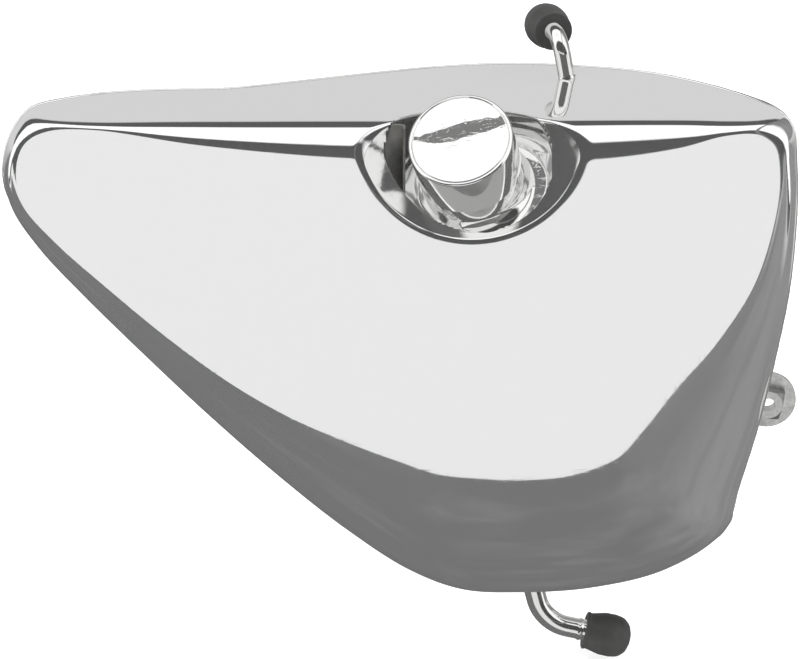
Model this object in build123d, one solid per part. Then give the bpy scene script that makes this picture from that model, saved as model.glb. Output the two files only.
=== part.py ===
from build123d import *
import math
import os

# Motorcycle side tank for engine oil: a chromed steel wedge with an offset filler in a
# pressed recess, a vent tube on top, a feed tube underneath and a return nipple behind.
# Modelling frame, millimetres: X along the tank towards its deep end, Y from the outer
# face to the frame side, Z up, with Z = 0 on the flat top plate.
# Every node is moved at the end so that the front mounting nut's hole is the origin.

# ---------------------------------------------------------------- driving dimensions
SHEET = 1.2                    # body sheet thickness
CROWN_RADIUS = 1350.0          # the outer face is gently crowned along X
CROWN_X = 10.0
FACE_MIDDLE_Z = -80.0
BODY_DEPTH = 125.0             # raw loft depth, before the frame side is trimmed
OUTLINE_STEPS = 2              # smooth points made between two outline points
ROLL_ANGLES = (0, 15, 30, 45, 60, 75, 90)

RECESS_RADIUS = 81.2           # spherical scoop around the filler
RECESS_CENTRE = (36.0, -56.7, 1.5)
PAN_HALF = (33.5, 26.5)        # flat-floored pan inside the scoop: along X, across
PAN_SHIFT = (3.0, 1.0)         # from the neck's axis, along X and across
PAN_FLOOR = 48.0               # below the cap's face, along the neck

CAP_FACE = (28.7, -6.7, -2.1)  # centre of the filler cap's face
NECK_DIR = (-0.18, -0.64, 0.747)
CAP_RADIUS = 25.4
CAP_HEIGHT = 26.0
CAP_WALL = 1.2
GASKET = 2.0
NECK_RADIUS = 22.2
NECK_BORE = 20.7
NECK_FOOT = 57.0               # lower end of the neck below the cap's face
PLUG_DEPTH = 22.0
PLUG_RADIUS = 20.2
O_RING_WIRE = 1.6              # section radius of each O-ring
RUNNING_GAP = 0.05
DIPSTICK_RADIUS = 2.4
DIPSTICK_END = 150.0
PIN_RADIUS = 0.8
CAP_EDGE = 1.1
O_RING_DEPTHS = (9.0, 16.0)
STICK_BOSS_RADIUS = 5.5
STICK_BOSS_END = 30.0
DIPSTICK_MARKS = (110.0, 138.0)

VENT_BASE = (82.5, 84.2)
VENT_RADIUS = 4.25
FEED_RADIUS = 5.3
RETURN_BASE = (149.0, -222.0)  # X, Z on the frame side
RETURN_RADIUS = 5.3
TUBE_WALL = 1.0
HOSE_CAP_RADIUS = 11.0
HOSE_CAP_LENGTH = 24.0
HOSE_CAP_GRIP = 17.0           # how far a nipple reaches into its rubber cap
HOSE_CAP_MOUTH = 9.3
HOSE_CAP_TAPER = 8.0
HOSE_CAP_DOME = 8.5
BUNG_RADIUS = 9.0
BUNG_HEIGHT = 3.0              # of the ring under the top plate
BUNG_REACH = 40.0
BUNG_OUTSIDE = 3.0             # of the ring on the frame side
SPLASH_RADIUS = 7.0
FEED_BUNG_TOP = 30.0           # from the feed tube's upper end down to its weld ring
STRAINER_RADIUS = 8.0
STRAINER_RISE = 3.0
STRAINER_ROWS = 7
VENT_ENTRY = (76.3, 94.0, 20.4)      # where the vent tube goes into its rubber cap
VENT_AIM = (-0.235, 0.97, -0.06)
VENT_CORNER_BACK = 10.0
VENT_INSIDE = 9.0
VENT_BEND = 8.5
FEED_ENTRY = (94.5, 60.0, -289.8)
FEED_AIM = (0.976, 0.0, -0.22)
FEED_RISE = (-0.243, 0.0, 0.97)
FEED_CORNER_BACK = 21.9
FEED_REACH = 56.0
FEED_BEND = 21.0
RETURN_AIM = (0.424, 0.69, -0.587)
RETURN_STAND = 13.9                  # bare nipple between the tank and its rubber cap
RETURN_INSIDE = 12.0

NUT_CENTRE = (184.2, 46.0, -159.8)   # front face of the square nut on the front tab
NUT_ACROSS = 14.29             # 9/16 in across flats
NUT_THICK = 6.7
NUT_HOLE = 3.4                 # minor radius of a 5/16 in thread
TAB_RADIUS = 14.4
TAB_THICK = 3.0
TAB_HOLE = 4.2
TAB_TILT = 12.0                # the tab stands square to the slanted end
BOSS_RADIUS = 11.0
BOSS_LENGTH = 14.0
BOSS_HOLE_DEPTH = 12.0
BOSSES = {"rear_mount_boss": (-128.0, -42.0), "lower_mount_boss": (30.0, -206.0)}

BAFFLE_X = 2.0
BAFFLE_HOLE = 9.0
BAFFLE_HOLES = [(30, -70), (60, -70), (45, -120), (70, -170)]

# Girth of the body seen square to the outer face, clockwise from the top left.
# Each row: girth X, Z; then X, Z where the flat face begins; then the roll's depth.
RIBS = [
    (-150, 3, -146, -3, 20), (-96, 3, -96, -9.5, 24), (-30, 3, -30, -15, 28),
    (36, 3, 36, -17, 27), (96, 3, 96, -17, 24), (134, 3, 133, -12, 22),
    (160, 3, 155, -6, 22), (180, 1.5, 171, -6, 20), (190, -6, 179, -12, 16),
    (192.5, -22, 182, -25, 15), (194.5, -46, 180, -46, 17), (193.5, -86, 168, -80, 24),
    (187.5, -127.5, 145, -106, 34), (181, -168.5, 119, -123, 48), (172.5, -207, 100, -138.5, 60),
    (165.5, -235.5, 82, -149.5, 68), (137.5, -257, 64, -156.5, 72), (99.5, -268, 47, -160.5, 75),
    (62, -270.5, 29, -160.5, 75), (33, -268.5, 11, -158, 74), (6, -256.5, -8, -151.5, 70),
    (-27, -230.5, -30, -146, 62), (-61.5, -197, -53, -139.5, 51), (-96.5, -159.5, -79, -126, 38),
    (-127, -125.5, -107, -106, 28), (-155, -94, -138, -80, 20),
    (-176, -69, -163, -59, 15), (-189, -47.5, -179, -43, 12), (-192.5, -27.5, -184, -27, 10),
    (-188, -9.5, -180, -12, 12), (-176, 1.5, -168, -5, 16),
]

# Frame side seen from above: X, Y along its curve, from the tapered end to the deep end.
FRAME_SIDE = [
    (-198, 6), (-192, 24), (-180, 38), (-164, 50), (-145, 58.5), (-120, 63.5), (-85, 66),
    (-48, 78), (-12, 91), (22, 101.5), (55, 106), (88, 102.5), (124, 91.5), (150, 73.5),
    (168, 56), (182, 38), (192, 21), (199, 4),
]


# ---------------------------------------------------------------- curves
def smooth_loop(rows, steps):
    """Points on a smooth closed curve through rows: a centripetal Catmull-Rom curve."""
    result = []
    count = len(rows)
    for index in range(count):
        corners = [rows[(index + k) % count] for k in (-1, 0, 1, 2)]
        knots = [0.0]
        for a, b in zip(corners, corners[1:]):
            knots.append(knots[-1] + math.sqrt(math.hypot(b[0] - a[0], b[1] - a[1])))
        for step in range(steps):
            t = knots[1] + (knots[2] - knots[1]) * step / steps
            level = corners
            for spans in (((0, 1), (1, 2), (2, 3)), ((0, 2), (1, 3)), ((1, 2),)):
                level = [
                    [u + (v - u) * (t - knots[a]) / (knots[b] - knots[a]) for u, v in zip(p, q)]
                    for (a, b), p, q in zip(spans, level, level[1:])
                ]
            result.append(level[0])
    return result


def crown(x):
    """Y of the outer face at x."""
    return (x - CROWN_X) ** 2 / (2 * CROWN_RADIUS)


def closed_spline(points):
    return Wire([Edge.make_spline([Vector(*p) for p in points], periodic=True)])


# ---------------------------------------------------------------- the body's solids
def raw_skin(inset):
    """The body before its top and frame side are trimmed, inset millimetres inside the skin."""
    rows = smooth_loop(RIBS, OUTLINE_STEPS)
    count = len(rows)
    ribs = []
    for index, (gx, gz, fx, fz, depth) in enumerate(rows):
        before, after = rows[index - 1], rows[(index + 1) % count]
        along = (after[0] - before[0], after[1] - before[1])
        size = math.hypot(*along)
        girth = (gx - inset * -along[1] / size, gz - inset * along[0] / size)
        ribs.append((girth, (fx, fz), crown(fx) + inset, depth))
    sections = [[(g[0], BODY_DEPTH, g[1]) for g, f, start, depth in ribs]]
    for back in (0.5, 0.1):
        sections.append([
            (g[0], start + depth + (BODY_DEPTH - start - depth) * back, g[1])
            for g, f, start, depth in ribs
        ])
    for angle in ROLL_ANGLES:
        c, s = math.cos(math.radians(angle)), math.sin(math.radians(angle))
        sections.append([
            (g[0] + (f[0] - g[0]) * (1 - c), start + depth * (1 - s), g[1] + (f[1] - g[1]) * (1 - c))
            for g, f, start, depth in ribs
        ])
    middle = (CROWN_X, FACE_MIDDLE_Z)
    for share in (0.7, 0.4):
        ring = [[m + (v - m) * share for m, v in zip(middle, f)] for g, f, start, depth in ribs]
        sections.append([(x, crown(x) + inset, z) for x, z in ring])
    ring = [[m + (v - m) * 0.15 for m, v in zip(middle, f)] for g, f, start, depth in ribs]
    sections.append([(x, inset, z) for x, z in ring])
    return Solid.make_loft([closed_spline(points) for points in sections], ruled=True)


def frame_side(inset):
    """Points of the frame side's curve, moved inset millimetres towards the outer face."""
    result = []
    for index, (x, y) in enumerate(FRAME_SIDE):
        before = FRAME_SIDE[max(index - 1, 0)]
        after = FRAME_SIDE[min(index + 1, len(FRAME_SIDE) - 1)]
        along = (after[0] - before[0], after[1] - before[1])
        size = math.hypot(*along)
        result.append((x + inset * along[1] / size, y - inset * along[0] / size))
    return result


def plan_prism(inset, top):
    """Everything in front of the frame side's curve and below top."""
    points = frame_side(inset)
    start, end = points[0], points[-1]
    front = -60.0
    curve = Edge.make_spline([Vector(x, y, 0) for x, y in points])
    corners = [(*end, 0), (end[0], front, 0), (start[0], front, 0), (*start, 0)]
    sides = [Edge.make_line(a, b) for a, b in zip(corners, corners[1:])]
    plan = Face(Wire([curve] + sides))
    return Pos(0, 0, top - 320) * extrude(plan, 320, dir=(0, 0, 1))


def toward(point, direction):
    """Plane at point whose Z runs along direction and whose X stays near level."""
    z_dir = Vector(*direction).normalized()
    helper = Vector(1, 0, 0) if abs(z_dir.X) < 0.9 else Vector(0, 1, 0)
    x_dir = helper - z_dir * helper.dot(z_dir)
    return Plane(origin=Vector(*point), x_dir=x_dir, z_dir=z_dir)


def rod(radius, low, high):
    """Cylinder on the local Z axis between two heights."""
    return Pos(0, 0, (low + high) / 2) * Cylinder(radius, high - low)


def ring(outer, inner, low, high):
    return rod(outer, low, high) - rod(inner, low - 1, high + 1)


NECK = toward(CAP_FACE, NECK_DIR)


def recess(grow):
    """The scoop and its flat-floored pan, grown by grow millimetres."""
    scoop = Pos(*RECESS_CENTRE) * Sphere(RECESS_RADIUS + grow)
    floor = PAN_FLOOR + grow
    pan = extrude(Ellipse(PAN_HALF[0] + grow, PAN_HALF[1] + grow), floor + 20)
    return scoop + NECK * Pos(*PAN_SHIFT, -floor) * pan


def body_pieces():
    """The hollow body's three sheets, and the solids of its outside and of its oil space."""
    neck_hole = NECK * rod(NECK_RADIUS, -PAN_FLOOR - 12, 30)
    outer = (raw_skin(0) & plan_prism(0, 0)) - recess(0)
    cavity = (raw_skin(SHEET) & plan_prism(SHEET, -SHEET)) - recess(SHEET) - neck_hole
    in_front = plan_prism(SHEET, 10)
    back_panel = outer - in_front
    front = (outer & in_front) - neck_hole - cavity
    dish_zone = recess(SHEET + 0.05)
    return {
        "outer": outer,
        "cavity": cavity,
        "outer_shell": front - dish_zone,
        "filler_dish": front & dish_zone,
        "back_panel": back_panel,
    }


# ---------------------------------------------------------------- filler neck and cap
def filler_neck():
    return NECK * ring(NECK_RADIUS, NECK_BORE, -NECK_FOOT, -CAP_WALL - GASKET)


def cap_shell():
    cup = rod(CAP_RADIUS, -CAP_HEIGHT, 0)
    cup = fillet(cup.edges().group_by(Axis.Z)[-1], CAP_EDGE)
    return NECK * (cup - rod(CAP_RADIUS - CAP_WALL, -CAP_HEIGHT - 1, -CAP_WALL))


def cap_gasket():
    outer = CAP_RADIUS - CAP_WALL - 0.3
    return NECK * ring(outer, PLUG_RADIUS + 0.1, -CAP_WALL - GASKET, -CAP_WALL)


def o_ring_shapes():
    wire_circle = NECK_BORE - RUNNING_GAP - O_RING_WIRE
    return [Pos(0, 0, -depth) * Torus(wire_circle, O_RING_WIRE) for depth in O_RING_DEPTHS]


def cap_plug():
    plug = rod(PLUG_RADIUS, -PLUG_DEPTH, -CAP_WALL)
    plug = chamfer(plug.edges().group_by(Axis.Z)[0], 1.5)
    plug += rod(STICK_BOSS_RADIUS, -STICK_BOSS_END, -PLUG_DEPTH + 1)
    for groove in o_ring_shapes():
        plug -= groove
    plug -= rod(DIPSTICK_RADIUS, -STICK_BOSS_END - 1, -PLUG_DEPTH + 6)
    return NECK * (plug - pin_shape())


def cap_o_rings():
    return Compound(children=[NECK * shape for shape in o_ring_shapes()])


def pin_shape():
    middle = -(PLUG_DEPTH + STICK_BOSS_END) / 2
    return Pos(0, 0, middle) * Rot(0, 90, 0) * rod(PIN_RADIUS, -STICK_BOSS_RADIUS, STICK_BOSS_RADIUS)


def dipstick():
    stick = rod(DIPSTICK_RADIUS, -DIPSTICK_END, -PLUG_DEPTH + 6)
    stick = chamfer(stick.edges().group_by(Axis.Z)[0], 1.0)
    for mark in DIPSTICK_MARKS:
        stick -= ring(DIPSTICK_RADIUS + 1, DIPSTICK_RADIUS - 0.5, -mark - 0.6, -mark + 0.6)
    return NECK * (stick - pin_shape())


# ---------------------------------------------------------------- hose fittings
def tube(points, bend, radius, bore):
    """A bent tube along three points, with its bore cut through."""
    path = FilletPolyline(*points, radius=bend)
    start = Plane(origin=path @ 0, z_dir=path % 0)
    section = start * (Circle(radius) - Circle(bore))
    return sweep(section, path)


def hose_cap(entry, direction, bore):
    """Rubber blanking cap with a domed end, a thinner mouth and a blind bore."""
    bulb = rod(HOSE_CAP_RADIUS, HOSE_CAP_TAPER, HOSE_CAP_LENGTH)
    bulb = fillet(bulb.edges().group_by(Axis.Z)[-1], HOSE_CAP_DOME)
    mouth = Pos(0, 0, HOSE_CAP_TAPER / 2) * Cone(HOSE_CAP_MOUTH, HOSE_CAP_RADIUS, HOSE_CAP_TAPER)
    mouth = fillet(mouth.edges().group_by(Axis.Z)[0], 1.0)
    return toward(entry, direction) * (bulb + mouth - rod(bore, -1, HOSE_CAP_GRIP + 0.5))


def step_along(point, direction, distance):
    return tuple(Vector(*point) + Vector(*direction).normalized() * distance)


def frame_side_y(x):
    """Y of the frame side at x, on the straight chord between its two nearest points."""
    for (x0, y0), (x1, y1) in zip(FRAME_SIDE, FRAME_SIDE[1:]):
        if x0 <= x <= x1:
            return y0 + (y1 - y0) * (x - x0) / (x1 - x0)
    raise ValueError(x)


def vent_path():
    end = step_along(VENT_ENTRY, VENT_AIM, HOSE_CAP_GRIP)
    corner = step_along(VENT_ENTRY, VENT_AIM, -VENT_CORNER_BACK)
    foot = Vector(VENT_BASE[0], VENT_BASE[1], 0)
    lean = (foot - Vector(*corner)).normalized()
    return [tuple(foot + lean * VENT_INSIDE), corner, end]


def feed_path():
    end = step_along(FEED_ENTRY, FEED_AIM, HOSE_CAP_GRIP)
    corner = step_along(FEED_ENTRY, FEED_AIM, -FEED_CORNER_BACK)
    return [step_along(corner, FEED_RISE, FEED_REACH), corner, end]


def return_start():
    return (RETURN_BASE[0], frame_side_y(RETURN_BASE[0]), RETURN_BASE[1])


def vent_pieces(cavity):
    path = vent_path()
    foot = toward(path[0], Vector(*path[1]) - Vector(*path[0]))
    collar = (foot * rod(BUNG_RADIUS, -4, BUNG_REACH)) & cavity
    bung = collar & Pos(0, 0, -SHEET - BUNG_HEIGHT / 2) * Box(900, 900, BUNG_HEIGHT)
    cup = foot * (rod(SPLASH_RADIUS, -12, 2) - rod(SPLASH_RADIUS - 1, -11, 3))
    for turn in range(4):
        cup -= foot * Rot(0, 0, 45 + 90 * turn) * Pos(SPLASH_RADIUS, 0, -7) * Box(6, 4, 4)
    hole = foot * rod(VENT_RADIUS, -1, 30)
    bung -= hole
    return {
        "vent_tube": tube(path, VENT_BEND, VENT_RADIUS, VENT_RADIUS - TUBE_WALL),
        "vent_bung": bung,
        "vent_splash_cup": cup & cavity,
        "vent_cap": hose_cap(VENT_ENTRY, VENT_AIM, VENT_RADIUS + RUNNING_GAP),
    }, hole


def feed_pieces(cavity):
    path = feed_path()
    foot = toward(path[0], Vector(*path[1]) - Vector(*path[0]))
    hole = foot * rod(FEED_RADIUS, -1, FEED_REACH)
    bung = (foot * rod(BUNG_RADIUS, 0, FEED_REACH)) & cavity
    bung &= foot * rod(BUNG_RADIUS + 1, FEED_BUNG_TOP, FEED_REACH)
    strainer = foot * (
        ring(STRAINER_RADIUS, STRAINER_RADIUS - 0.8, -STRAINER_RISE, FEED_BUNG_TOP)
        + rod(STRAINER_RADIUS, -STRAINER_RISE - 1, -STRAINER_RISE)
    )
    for row in range(STRAINER_ROWS):
        for turn in range(3):
            place = Rot(0, 0, 60 * turn + 30 * (row % 2)) * Pos(0, 0, 4 * row - STRAINER_RISE + 3)
            strainer -= foot * place * Box(3 * STRAINER_RADIUS, 2, 2)
    return {
        "feed_tube": tube(path, FEED_BEND, FEED_RADIUS, FEED_RADIUS - TUBE_WALL),
        "feed_bung": bung - hole,
        "feed_strainer": strainer,
        "feed_cap": hose_cap(FEED_ENTRY, FEED_AIM, FEED_RADIUS + RUNNING_GAP),
    }, hole


def return_pieces(cavity, outer):
    foot = toward(return_start(), RETURN_AIM)
    end = RETURN_STAND + HOSE_CAP_GRIP
    hole = foot * rod(RETURN_RADIUS, -RETURN_INSIDE, end)
    bung = foot * rod(BUNG_RADIUS, -RETURN_INSIDE, BUNG_OUTSIDE) - outer
    bung = bung.solids().sort_by(Axis.Y)[-1]
    deflector = foot * (
        ring(RETURN_RADIUS + 2, RETURN_RADIUS, -RETURN_INSIDE, -RETURN_INSIDE + 6)
        + rod(RETURN_RADIUS + 2, -RETURN_INSIDE - 9, -RETURN_INSIDE - 8)
    )
    for side in (-1, 1):
        leg = Pos(side * (RETURN_RADIUS + 1.4), 0, -RETURN_INSIDE - 4) * Box(1.2, 5, 8)
        deflector += foot * leg
    entry = step_along(return_start(), RETURN_AIM, RETURN_STAND)
    return {
        "return_nipple": foot * ring(RETURN_RADIUS, RETURN_RADIUS - TUBE_WALL, -RETURN_INSIDE, end),
        "return_bung": bung - hole,
        "return_deflector": deflector & cavity,
        "return_cap": hose_cap(entry, RETURN_AIM, RETURN_RADIUS + RUNNING_GAP),
    }, hole


# ---------------------------------------------------------------- mounts and baffle
def front_mount_tab(outer):
    """Round-ended plate, square to the slanted end, welded to the frame side."""
    plate = Cylinder(TAB_RADIUS, TAB_THICK) + Pos(-15, 0, 0) * Box(30, 2 * TAB_RADIUS, TAB_THICK)
    plate -= Cylinder(TAB_HOLE, TAB_THICK + 2)
    x, y, z = NUT_CENTRE
    middle = Pos(x, y + NUT_THICK + TAB_THICK / 2, z)
    return (middle * Rot(0, TAB_TILT, 0) * Rot(90, 0, 0) * plate) - outer


def front_mount_nut():
    """Square nut with its corners rounded off by the usual chamfer cone."""
    half = NUT_THICK / 2
    nut = Box(NUT_ACROSS, NUT_ACROSS, NUT_THICK)
    nut &= Cone(NUT_ACROSS / 2 + NUT_THICK * 1.7, NUT_ACROSS / 2, NUT_THICK)
    nut -= Cylinder(NUT_HOLE, NUT_THICK + 2)
    x, y, z = NUT_CENTRE
    return Pos(x, y + half, z) * Rot(0, TAB_TILT, 0) * Rot(90, 0, 0) * nut


def mount_boss(place, outer):
    x, z = place
    start = frame_side_y(x)
    boss = rod(BOSS_RADIUS, -8, BOSS_LENGTH)
    boss = chamfer(boss.edges().group_by(Axis.Z)[-1], 1.0)
    boss -= rod(NUT_HOLE, BOSS_LENGTH - BOSS_HOLE_DEPTH, BOSS_LENGTH + 1)
    solid = Pos(x, start, z) * Rot(-90, 0, 0) * boss - outer
    return solid.solids().sort_by(Axis.Y)[-1]


def baffle_plate(cavity):
    """Cross plate with four oil holes and an air gap under the top."""
    slab = Pos(BAFFLE_X, 60, -150) * Box(SHEET, 200, 290)
    plate = (slab & cavity).solids().sort_by(SortBy.VOLUME)[-1]
    for y, z in BAFFLE_HOLES:
        plate -= Pos(BAFFLE_X, y, z) * Rot(0, 90, 0) * Cylinder(BAFFLE_HOLE, 10)
    return plate


# ---------------------------------------------------------------- the assembly
def build():
    body = body_pieces()
    outer, cavity = body.pop("outer"), body.pop("cavity")
    vent, vent_hole = vent_pieces(cavity)
    feed, feed_hole = feed_pieces(cavity)
    back, return_hole = return_pieces(cavity, outer)
    body["outer_shell"] = body["outer_shell"] - vent_hole - feed_hole
    body["back_panel"] = body["back_panel"] - return_hole
    nodes = {
        **body,
        "filler_neck": filler_neck(),
        "cap_shell": cap_shell(),
        "cap_gasket": cap_gasket(),
        "cap_plug": cap_plug(),
        "cap_o_rings": cap_o_rings(),
        "dipstick_pin": NECK * pin_shape(),
        "dipstick": dipstick(),
        **vent,
        **feed,
        **back,
        "front_mount_tab": front_mount_tab(outer),
        "front_mount_nut": front_mount_nut(),
        "baffle_plate": baffle_plate(cavity),
    }
    for name, place in BOSSES.items():
        nodes[name] = mount_boss(place, outer)
    return nodes


os.makedirs("parts", exist_ok=True)
x, y, z = NUT_CENTRE
to_row_frame = Pos(-x, -y - NUT_THICK / 2, -z)
for name, shape in build().items():
    export_step(to_row_frame * shape, f"parts/{name}.step")
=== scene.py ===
import math

import bmesh
import bpy
import numpy as np
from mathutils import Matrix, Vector


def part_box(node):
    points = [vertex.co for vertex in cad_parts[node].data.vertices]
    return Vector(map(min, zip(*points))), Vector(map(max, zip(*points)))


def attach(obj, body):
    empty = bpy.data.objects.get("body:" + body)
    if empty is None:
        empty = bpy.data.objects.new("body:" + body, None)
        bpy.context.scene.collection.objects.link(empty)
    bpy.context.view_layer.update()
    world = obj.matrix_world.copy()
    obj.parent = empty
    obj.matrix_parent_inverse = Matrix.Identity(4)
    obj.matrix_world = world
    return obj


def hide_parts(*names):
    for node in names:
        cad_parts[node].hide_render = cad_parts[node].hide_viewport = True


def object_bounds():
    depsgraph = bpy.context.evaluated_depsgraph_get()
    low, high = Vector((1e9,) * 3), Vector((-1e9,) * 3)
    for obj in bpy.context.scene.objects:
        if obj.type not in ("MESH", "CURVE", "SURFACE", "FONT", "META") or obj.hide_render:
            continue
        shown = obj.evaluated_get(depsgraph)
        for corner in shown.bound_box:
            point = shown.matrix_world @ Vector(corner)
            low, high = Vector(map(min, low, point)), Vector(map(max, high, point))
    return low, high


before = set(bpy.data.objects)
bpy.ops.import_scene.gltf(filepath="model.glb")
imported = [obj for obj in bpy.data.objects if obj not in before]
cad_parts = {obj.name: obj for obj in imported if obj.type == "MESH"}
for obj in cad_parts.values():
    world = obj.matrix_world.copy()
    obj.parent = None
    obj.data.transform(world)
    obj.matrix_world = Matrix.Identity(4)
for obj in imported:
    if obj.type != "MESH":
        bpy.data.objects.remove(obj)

# A chromed motorcycle side tank. Shapes are worked out in millimetres in the tank's own
# modelling frame (X along the tank, Y from the outer face to the frame side, Z = 0 on the
# top plate) and moved to the shared frame as each mesh is made.

CAD_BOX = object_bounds()
MM = 0.001
NUT_IN_TANK = np.array([184.2, 49.35, -159.8])
NUT_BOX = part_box("front_mount_nut")
TO_FRAME = (np.array(NUT_BOX[0]) + np.array(NUT_BOX[1])) / 2 / MM - NUT_IN_TANK

# ---------------------------------------------------------------- the tank's dimensions
SHEET = 1.2
CREASE_WIDTH = 2.8             # over which the front roll turns into the top plate
CROWN_RADIUS = 1350.0
CROWN_X = 10.0
FACE_MIDDLE = (22.0, -112.0)
BACK_MIDDLE = (24.0, -108.0)
FINE_STEP = 1.1                # between mesh points along the girth, beside the recess
COARSE_STEP = 3.5              # and elsewhere
FACE_ROWS = 70
SIDE_ROWS = 116

RECESS_RADIUS = 81.2
RECESS_CENTRE = np.array([36.0, -56.7, 1.5])
RECESS_AXIS = np.array([0.0, -0.65, 0.76]) / math.hypot(0.65, 0.76)
# blend of the scoop into the body against Z in the plane across the recess axis: tight at
# the crease, soft at the two shoulders and tighter again along the bottom
LIP_LEVELS = (-22.0, -15.0, -6.0, 0.0, 7.0)
LIP_WIDTHS = (1.9, 2.4, 5.0, 5.0, 2.0)
PAN_HALF = (33.5, 26.5)
PAN_SHIFT = (3.0, 1.0)
PAN_FLOOR = 48.0               # below the cap's face
PAN_SLOPE = 3.6                # rise of the pan's wall over its run
PAN_EDGE = 2.2                 # over which floor, wall and scoop blend
PAN_WALL_FOOT = 0.955          # share of its outline where the pan's wall starts to rise
PAN_REACH = 1.32               # share of its outline that the pan's mesh reaches to
PAN_OVERLAP = 0.03             # share that it goes on beyond the hole in the outer shell
PAN_PROUD = 0.03               # how far it stands over the outer shell there
RECESS_HIGH = 30.0             # over the cap's face; all of the recess is lower
NECK_CLEARANCE = 0.6           # between the neck's bore and the pan's mesh

CAP_FACE = np.array([28.7, -6.7, -2.1])
NECK_DIR = np.array([-0.18, -0.64, 0.747])
CAP_RADIUS = 25.4
CAP_HEIGHT = 26.0
CAP_WALL = 1.2
NECK_RADIUS = 22.2
NECK_BORE = 20.7
NECK_FOOT = 57.0
NECK_TOP = 3.2

VENT_BASE = np.array([82.5, 84.2, 0.0])
VENT_RADIUS = 4.25
VENT_ENTRY = np.array([76.3, 94.0, 20.4])
VENT_AIM = np.array([-0.235, 0.97, -0.06])
FEED_RADIUS = 5.3
FEED_ENTRY = np.array([94.5, 60.0, -289.8])
FEED_AIM = np.array([0.976, 0.0, -0.22])
FEED_RISE = np.array([-0.243, 0.0, 0.97])
RETURN_BASE = (149.0, -222.0)
RETURN_AIM = np.array([0.424, 0.69, -0.587])
RETURN_RADIUS = 5.3
RETURN_STUB = 13.9             # of the return nipple, from the sheet to its rubber cap
RETURN_ROOT = 12.0             # of the return nipple, within the tank
TUBE_WALL = 1.0
CAP_GRIP = 17.0                # how far a nipple reaches into its rubber cap
SEAM_RADIUS = 0.9
SEAM_SINK = 0.35               # how far the weld bead is sunk into the edge
SEAM_RIPPLE = 0.06

# Girth of the body seen square to the outer face, clockwise from the top left.
# Each row: girth X, Z; then X, Z where the flat face begins; then the roll's depth.
RIBS = [
    (-150, 3, -146, -3, 20), (-96, 3, -96, -9.5, 24), (-30, 3, -30, -15, 28),
    (36, 3, 36, -17, 27), (96, 3, 96, -17, 24), (134, 3, 133, -12, 22),
    (160, 3, 155, -6, 22), (180, 1.5, 171, -6, 20), (190, -6, 179, -12, 16),
    (192.5, -22, 182, -25, 15), (194.5, -46, 180, -46, 17), (193.5, -86, 168, -80, 24),
    (187.5, -127.5, 145, -106, 34), (181, -168.5, 119, -123, 48), (172.5, -207, 100, -138.5, 60),
    (165.5, -235.5, 82, -149.5, 68), (137.5, -257, 64, -156.5, 72), (99.5, -268, 47, -160.5, 75),
    (62, -270.5, 29, -160.5, 75), (33, -268.5, 11, -158, 74), (6, -256.5, -8, -151.5, 70),
    (-27, -230.5, -30, -146, 62), (-61.5, -197, -53, -139.5, 51), (-96.5, -159.5, -79, -126, 38),
    (-127, -125.5, -107, -106, 28), (-155, -94, -138, -80, 20),
    (-176, -69, -163, -59, 15), (-189, -47.5, -179, -43, 12), (-192.5, -27.5, -184, -27, 10),
    (-188, -9.5, -180, -12, 12), (-176, 1.5, -168, -5, 16),
]
FINE_FROM, FINE_TO = 1, 4      # between these rows the mesh is fine, for the recess

# Frame side seen from above: X, Y along its curve, from the tapered end to the deep end.
FRAME_SIDE = [
    (-198, 6), (-192, 24), (-180, 38), (-164, 50), (-145, 58.5), (-120, 63.5), (-85, 66),
    (-48, 78), (-12, 91), (22, 101.5), (55, 106), (88, 102.5), (124, 91.5), (150, 73.5),
    (168, 56), (182, 38), (192, 21), (199, 4),
]


# ---------------------------------------------------------------- curves
def catmull(corners, share):
    """Point on the centripetal Catmull-Rom curve between the middle two of four corners."""
    knots = [0.0]
    for a, b in zip(corners, corners[1:]):
        knots.append(knots[-1] + math.sqrt(math.hypot(b[0] - a[0], b[1] - a[1])))
    t = knots[1] + (knots[2] - knots[1]) * share
    level = corners
    for spans in (((0, 1), (1, 2), (2, 3)), ((0, 2), (1, 3)), ((1, 2),)):
        level = [
            [u + (v - u) * (t - knots[a]) / (knots[b] - knots[a]) for u, v in zip(p, q)]
            for (a, b), p, q in zip(spans, level, level[1:])
        ]
    return level[0]


def dense_ribs(fine_step, coarse_step):
    """RIBS made dense along the girth, finest beside the recess."""
    result = []
    count = len(RIBS)
    for index in range(count):
        corners = [RIBS[(index + k) % count] for k in (-1, 0, 1, 2)]
        length = math.dist(corners[1][:2], corners[2][:2])
        step = fine_step if FINE_FROM <= index < FINE_TO else coarse_step
        steps = max(4, round(length / step))
        result += [catmull(corners, k / steps) for k in range(steps)]
    return np.array(result)


def frame_side_curve():
    """Dense X, Y points on the frame side's curve."""
    first = [2 * a - b for a, b in zip(FRAME_SIDE[0], FRAME_SIDE[1])]
    last = [2 * a - b for a, b in zip(FRAME_SIDE[-1], FRAME_SIDE[-2])]
    points = [first, *FRAME_SIDE, last]
    result = []
    for index in range(1, len(points) - 2):
        result += [catmull(points[index - 1:index + 3], k / 40) for k in range(40)]
    return np.array(result + [FRAME_SIDE[-1]])


SIDE_CURVE = frame_side_curve()


def frame_side_y(x):
    """Y of the frame side at x."""
    return np.interp(x, SIDE_CURVE[:, 0], SIDE_CURVE[:, 1])


def crown(x):
    """Y of the outer face at x."""
    return (x - CROWN_X) ** 2 / (2 * CROWN_RADIUS)


def soft_min(a, b, width):
    """The lower of a and b, blended where they are within width of each other."""
    h = np.maximum(width - np.abs(a - b), 0.0) / width
    return np.minimum(a, b) - h * h * width / 4


def unit(vector):
    return np.asarray(vector, float) / np.linalg.norm(vector)


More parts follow.
